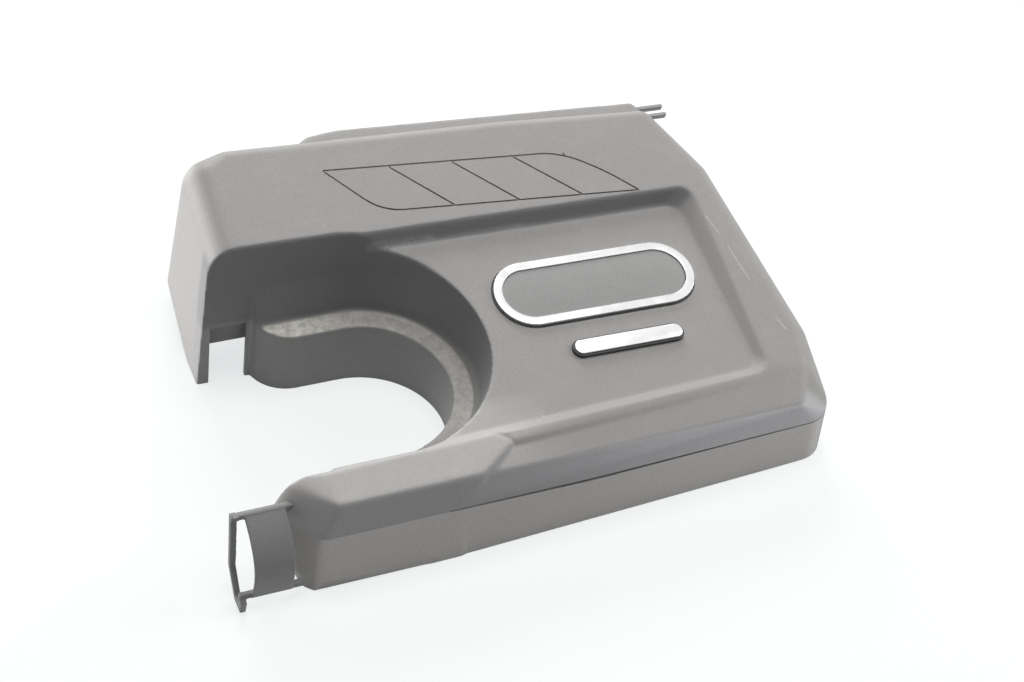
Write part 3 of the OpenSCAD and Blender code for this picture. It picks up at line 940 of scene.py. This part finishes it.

# %% [markdown]
# A cover that has been in use carries small marks: dust where the grooves meet, a nick and specks
# on the front, fine streaks down the right side, and a faint smear on the crest. A painted highlight
# lies along the foot of the ridge. Each is a dot or a short stroke in the plastic's colour, placed by
# the distance to a point or a line, and broken up by noise. Painted shade darkens the narrow gap
# round the badge.

# %% Small marks
# Each mark is a stroke from one point to another, and its radius, in MM.
STROKES = [((106.2, -137, 29.7), (109.8, -136.8, 20.6), 0.7), ((176.4, 22.6, 100.9), (179.7, 6.9, 97.1), 0.8),
           ((181.6, -4.6, 94.1), (185.2, -33.3, 86.7), 0.9), ((191.3, -66.1, 78.1), (194.3, -76.5, 75.3), 0.9)]
DOTS = [((-1.9, -103.3, 69.6), 1.4), ((145.1, -134.9, 36.8), 1), ((117.9, -129.3, 61.0), 0.8)]
MEETING_R = 1.7
# The first two strokes are a painted highlight along the foot of the ridge, and the third is a smear on the
# crest.
SHEEN_AND_SMEARS = [((-67.9, 48.5, 103.4), (-25.3, 49.5, 102.5), 6),
          ((-25.3, 49.5, 102.5), (42.0, 48.1, 100.4), 4),
          ((-31.3, -100.1, 70.8), (-2.4, -99.1, 70.3), 4)]
PALE_MARK, SHEEN_AND_SMEAR_GREY = (0.62, 0.62, 0.57, 1), (0.5, 0.49, 0.47, 1)


def off_line(tree, here, a, b):
    """The distance to the line from a to b."""
    run = b - a
    off = vector(tree, "SUBTRACT", "Vector", i0=here, i1=a)
    share = 0.0
    if run.length:
        share = vector(tree, "DOT_PRODUCT", "Value", i0=off, i1=run / run.length_squared)
        share = add(tree, "Clamp", Value=share).outputs[0]
    nearest = vector(tree, "SCALE", "Vector", i0=run, Scale=share)
    return vector(tree, "DISTANCE", "Value", i0=off, i1=nearest)


def coloured(finish, mask, colour):
    tree, skin, below = colour_below(finish)
    feed(tree, mixed(tree, mask, below, colour), skin.inputs["Base Color"])


def marked(finish, marks, colour, most):
    """most is the share of the mark's colour where it is thickest."""
    tree = finish.node_tree
    here = object_place(tree)
    mask = 0.0
    for a, b, r in marks:
        away = off_line(tree, here, Vector(a) * MM, Vector(b) * MM)
        mask = sums(tree, "MAXIMUM", mask, fades(tree, away, (0.4 * r * MM, r * MM)))
    broken = spread(tree, noise(tree, here, 2.5 * MM, 4, 0.7), 0.3, 0.6, 0.2 * most, most)
    coloured(finish, both(tree, mask, broken), colour)


# Painted shade: the narrow gap round the badge is darkened in the colour, where the recess lies in shade.
def moat_painted_shade(finish):
    tree = finish.node_tree
    ends = [DECK @ Vector((side * (BADGE_L - BADGE_W) / 2, 0, 0)) for side in (-1, 1)]
    away = off_line(tree, object_place(tree), *ends)
    coloured(finish, band(tree, away, BADGE_W / 2 - 0.3 * MM, BADGE_W / 2 + MOAT, 0.5 * MM), grey(0.07))


dots = DOTS + [(DECK @ place(share, border_z(share[1])) / MM, MEETING_R) for share in DIVIDERS + [PANEL[0]]]
marked(cover_plastic, STROKES + [(spot, spot, r) for spot, r in dots], PALE_MARK, 0.6)
# A painted highlight at the foot of the ridge, and a faint smear on the crest.
marked(cover_plastic, SHEEN_AND_SMEARS, SHEEN_AND_SMEAR_GREY, 0.35)
moat_painted_shade(cover_plastic)
print("strokes, dots and smears:", len(STROKES), len(dots), len(SHEEN_AND_SMEARS))

# %% [markdown]
# A shell of such small cells is heavier than it needs to be. Collapsing edges where the surface
# is nearly flat keeps every blend, and brings the mesh under the limit for one piece.

# %% Light mesh and smooth shading
def finish_piece(piece, name, finish, slot, *nodes, sharp=35):
    piece.name = name
    piece.data.materials.clear()
    piece.data.materials.append(finish)
    piece.data.shade_smooth()
    piece.data.set_sharp_from_angle(angle=math.radians(sharp))
    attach(piece, "root")
    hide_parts(*nodes)
    print(name, "faces:", len(piece.data.polygons))
    return piece


def thinned(piece, ratio):
    step = piece.modifiers.new("thin", "DECIMATE")
    step.ratio = ratio
    return settle(piece)


MOST_TRIANGLES = 190000
triangles = sum(len(p.vertices) - 2 for p in shell.data.polygons)
thinned(shell, min(1.0, MOST_TRIANGLES / triangles))
finish_piece(shell, "moulded_cover", cover_plastic, "cover_plastic", "cover_shell")

# %% [markdown]
# The badge is a blank stadium: a bright rim round a plain dark panel, on four pins that pass
# through the deck. A rounded bevel gives the rim the highlight and the shade line of plated metal.
# Below it lies a plain bright bar on a dark plinth. Bevels are modifiers, held to sharp edges.

# %% Badge and bar
BADGE_H = 4 * MM
BADGE_RIM = 6 * MM
BAR_L = 84 * MM
BAR_W = 14 * MM
BAR_H = 1.5 * MM
PLINTH_H = 2.5 * MM
PIN_R = 1.5 * MM
NUT_R = 5 * MM
PIN_TIP = 1.2 * MM
PIN_LOW = -WALL - 2 * GAP - PIN_TIP


def bevelled(piece, width, segments=3):
    step = piece.modifiers.new("bevel", "BEVEL")
    step.width = width
    step.segments = segments
    step.limit_method = "ANGLE"
    step.angle_limit = math.radians(40)
    step.profile = 0.5
    return settle(piece)


def pins(spots):
    return [post("pin", (x / COVER_L, y / COVER_D), PIN_R, PIN_LOW, 0.2 * MM, DECK, 24) for x, y in spots]


rim = stadium("rim", BADGE_L, BADGE_W, -SEAT_DEEP, BADGE_H - SEAT_DEEP)
inner = stadium("inner", BADGE_L - 2 * BADGE_RIM, BADGE_W - 2 * BADGE_RIM, -2 * SEAT_DEEP, BADGE_H)
combine(rim, [inner], "DIFFERENCE")
bevelled(rim, 1.5 * MM, 4)
badge_spots = [(x * (BADGE_L - BADGE_W) / 2, y * (BADGE_W - BADGE_RIM) / 2) for x in (-1, 1) for y in (-1, 1)]
combine(rim, pins(badge_spots), "UNION")
finish_piece(rim, "bright_rim", bright_trim, "bright_trim", "badge_frame", sharp=50)

inside = 2 * BADGE_RIM + 2 * GAP
panel = stadium("panel", BADGE_L - inside, BADGE_W - inside, -SEAT_DEEP, 2 * MM)
bevelled(panel, 0.5 * MM)
finish_piece(panel, "blank_panel", badge_face, "badge_face", "badge_panel")

plinth = stadium("plinth", BAR_L, BAR_W, 0, PLINTH_H, BAR_PLACE)
bevelled(plinth, 0.5 * MM)
bar_x = (BAR_L - BAR_W) / 2 - NUT_R
bar_y = BAR_PLACE[1] * COVER_D
combine(plinth, pins([(BAR_PLACE[0] * COVER_L + side * bar_x, bar_y) for side in (-1, 1)]), "UNION")
finish_piece(plinth, "dark_plinth", plinth_plastic, "plinth_plastic", "trim_plinth")

bar = stadium("bar", BAR_L - 2 * BAR_H, BAR_W - 2 * BAR_H, PLINTH_H, PLINTH_H + BAR_H, BAR_PLACE)
bevelled(bar, 0.6 * MM)
finish_piece(bar, "bright_bar", bright_trim, "bright_trim", "trim_bar")

# %% [markdown]
# The hose guide stands on the arm's end: an upright hooked ring, a curved saddle that a hose lies
# on, and two bars that tie them to the arm. Outlines in the Y-Z plane are drawn out along X, laid
# together, and rebuilt on fine cells, so that bars and hook come out round.

# %% Hose guide
GUIDE_D = 22 * MM
GUIDE_Z = 61 * MM
GUIDE_T = 4 * MM
GUIDE_L = 34 * MM
GUIDE_Y = -0.435 * COVER_D
GUIDE_X = -0.533 * COVER_L
GUIDE_END = -0.43 * COVER_L
RING = [(0.22, 1.06), (0, 1.06), (0.1, 0.32), (0.64, 0.075), (0.95, 0.09), (1.06, 0.2), (1.24, 0.16),
        (1.14, 0), (0.6, 0), (-0.08, 0.28), (-0.2, 1)]
SADDLE_SET = 8 * MM
SADDLE_T = 2.5 * MM
SADDLE_STEPS = 24
LOW_BAR = 0.17
GUIDE_CELL = 0.5 * MM


def drawn_out(name, outline, x, length):
    bm = bmesh.new()
    face = bm.faces.new([bm.verts.new(CENTRE @ Vector((x, GUIDE_Y + y, z))) for y, z in outline])
    pull(bm, face, (length, 0, 0))
    bmesh.ops.triangulate(bm, faces=bm.faces[:])
    return solid(bm, name)


def saddle_point(t, grow):
    """A point along the saddle's curve, t from 0 at its top to 1 at its foot."""
    bulge = 0.2 * GUIDE_Z * math.sin(math.pi * t)
    lift = 0.08 * math.sin(math.pi * t)
    turn = math.pi * t / 2
    y = -t * GUIDE_D - bulge - grow * math.sin(turn)
    return (y, GUIDE_Z * (1 - 0.82 * t + lift) + grow * math.cos(turn))


ring = drawn_out("ring", [(-y * GUIDE_D, z * GUIDE_Z) for y, z in RING], GUIDE_X, GUIDE_T)
steps = [k / SADDLE_STEPS for k in range(SADDLE_STEPS + 1)]
arc = [saddle_point(t, 0) for t in steps] + [saddle_point(t, SADDLE_T) for t in reversed(steps)]
saddle = drawn_out("saddle", arc, GUIDE_X + SADDLE_SET, GUIDE_L - SADDLE_SET)
half = GUIDE_T / 2
bars = []
for name, y, z in (("top_bar", GUIDE_Y, GUIDE_Z - half), ("low_bar", GUIDE_Y - GUIDE_D, LOW_BAR * GUIDE_Z)):
    bars.append(block(name, (GUIDE_X, y - half, z), (GUIDE_END, y + half, z + GUIDE_T)))
combine(ring, [saddle] + bars, "UNION")
relax(rebuilt(ring, GUIDE_CELL), 8)
combine(ring, [form(-GAP)], "DIFFERENCE")
thinned(ring, 0.3)
finish_piece(ring, "hose_guide_body", guide_plastic, "guide_plastic", "hose_guide", sharp=50)

# %% [markdown]
# What lies underneath is hardly seen. The real pads, grommets and nuts are plain shapes, and the
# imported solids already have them, so these keep their meshes and only take a finish.

# %% Other nodes take their finish
NODE_FINISH = {"foam_pad": foam, "grommet": grommet_rubber, "push_nut": nut_steel}
for node_name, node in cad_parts.items():
    for start, finish in NODE_FINISH.items():
        if node_name.startswith(start):
            node.data.materials.clear()
            node.data.materials.append(finish)
            print(node_name, "takes", finish.name)

# %% [markdown]
# The table is a white sweep. To the camera and in reflections, part of its white is its own, so
# that it stays plain white, and the rest takes the cover's soft shadow.

# %% Table
TABLE_HALF = 4
TABLE_WHITE, TABLE_SEEN, TABLE_GLOW = 0.86, 0.3, 0.74
GLOW_COLOUR = (0.97, 1, 1, 1)


def white_table():
    finish, tree, skin = new_finish("table_white")
    rays = add(tree, "LightPath").outputs
    seen = sums(tree, "MAXIMUM", rays["Is Glossy Ray"], rays["Is Transmission Ray"])
    seen = sums(tree, "MAXIMUM", rays["Is Camera Ray"], seen)
    feed(tree, mixed(tree, seen, grey(TABLE_WHITE), grey(TABLE_SEEN)), skin.inputs["Base Color"])
    feed(tree, sums(tree, "MULTIPLY", seen, TABLE_GLOW), skin.inputs["Emission Strength"])
    skin.inputs["Emission Color"].default_value = GLOW_COLOUR
    skin.inputs["Roughness"].default_value = 0.7
    skin.inputs["Specular IOR Level"].default_value = 0.2
    bm = bmesh.new()
    bmesh.ops.create_grid(bm, x_segments=1, y_segments=1, size=TABLE_HALF)
    table = solid(bm, "table")
    table.data.materials.append(finish)
    return table


white_table()
print("table:", 2 * TABLE_HALF, "m wide")
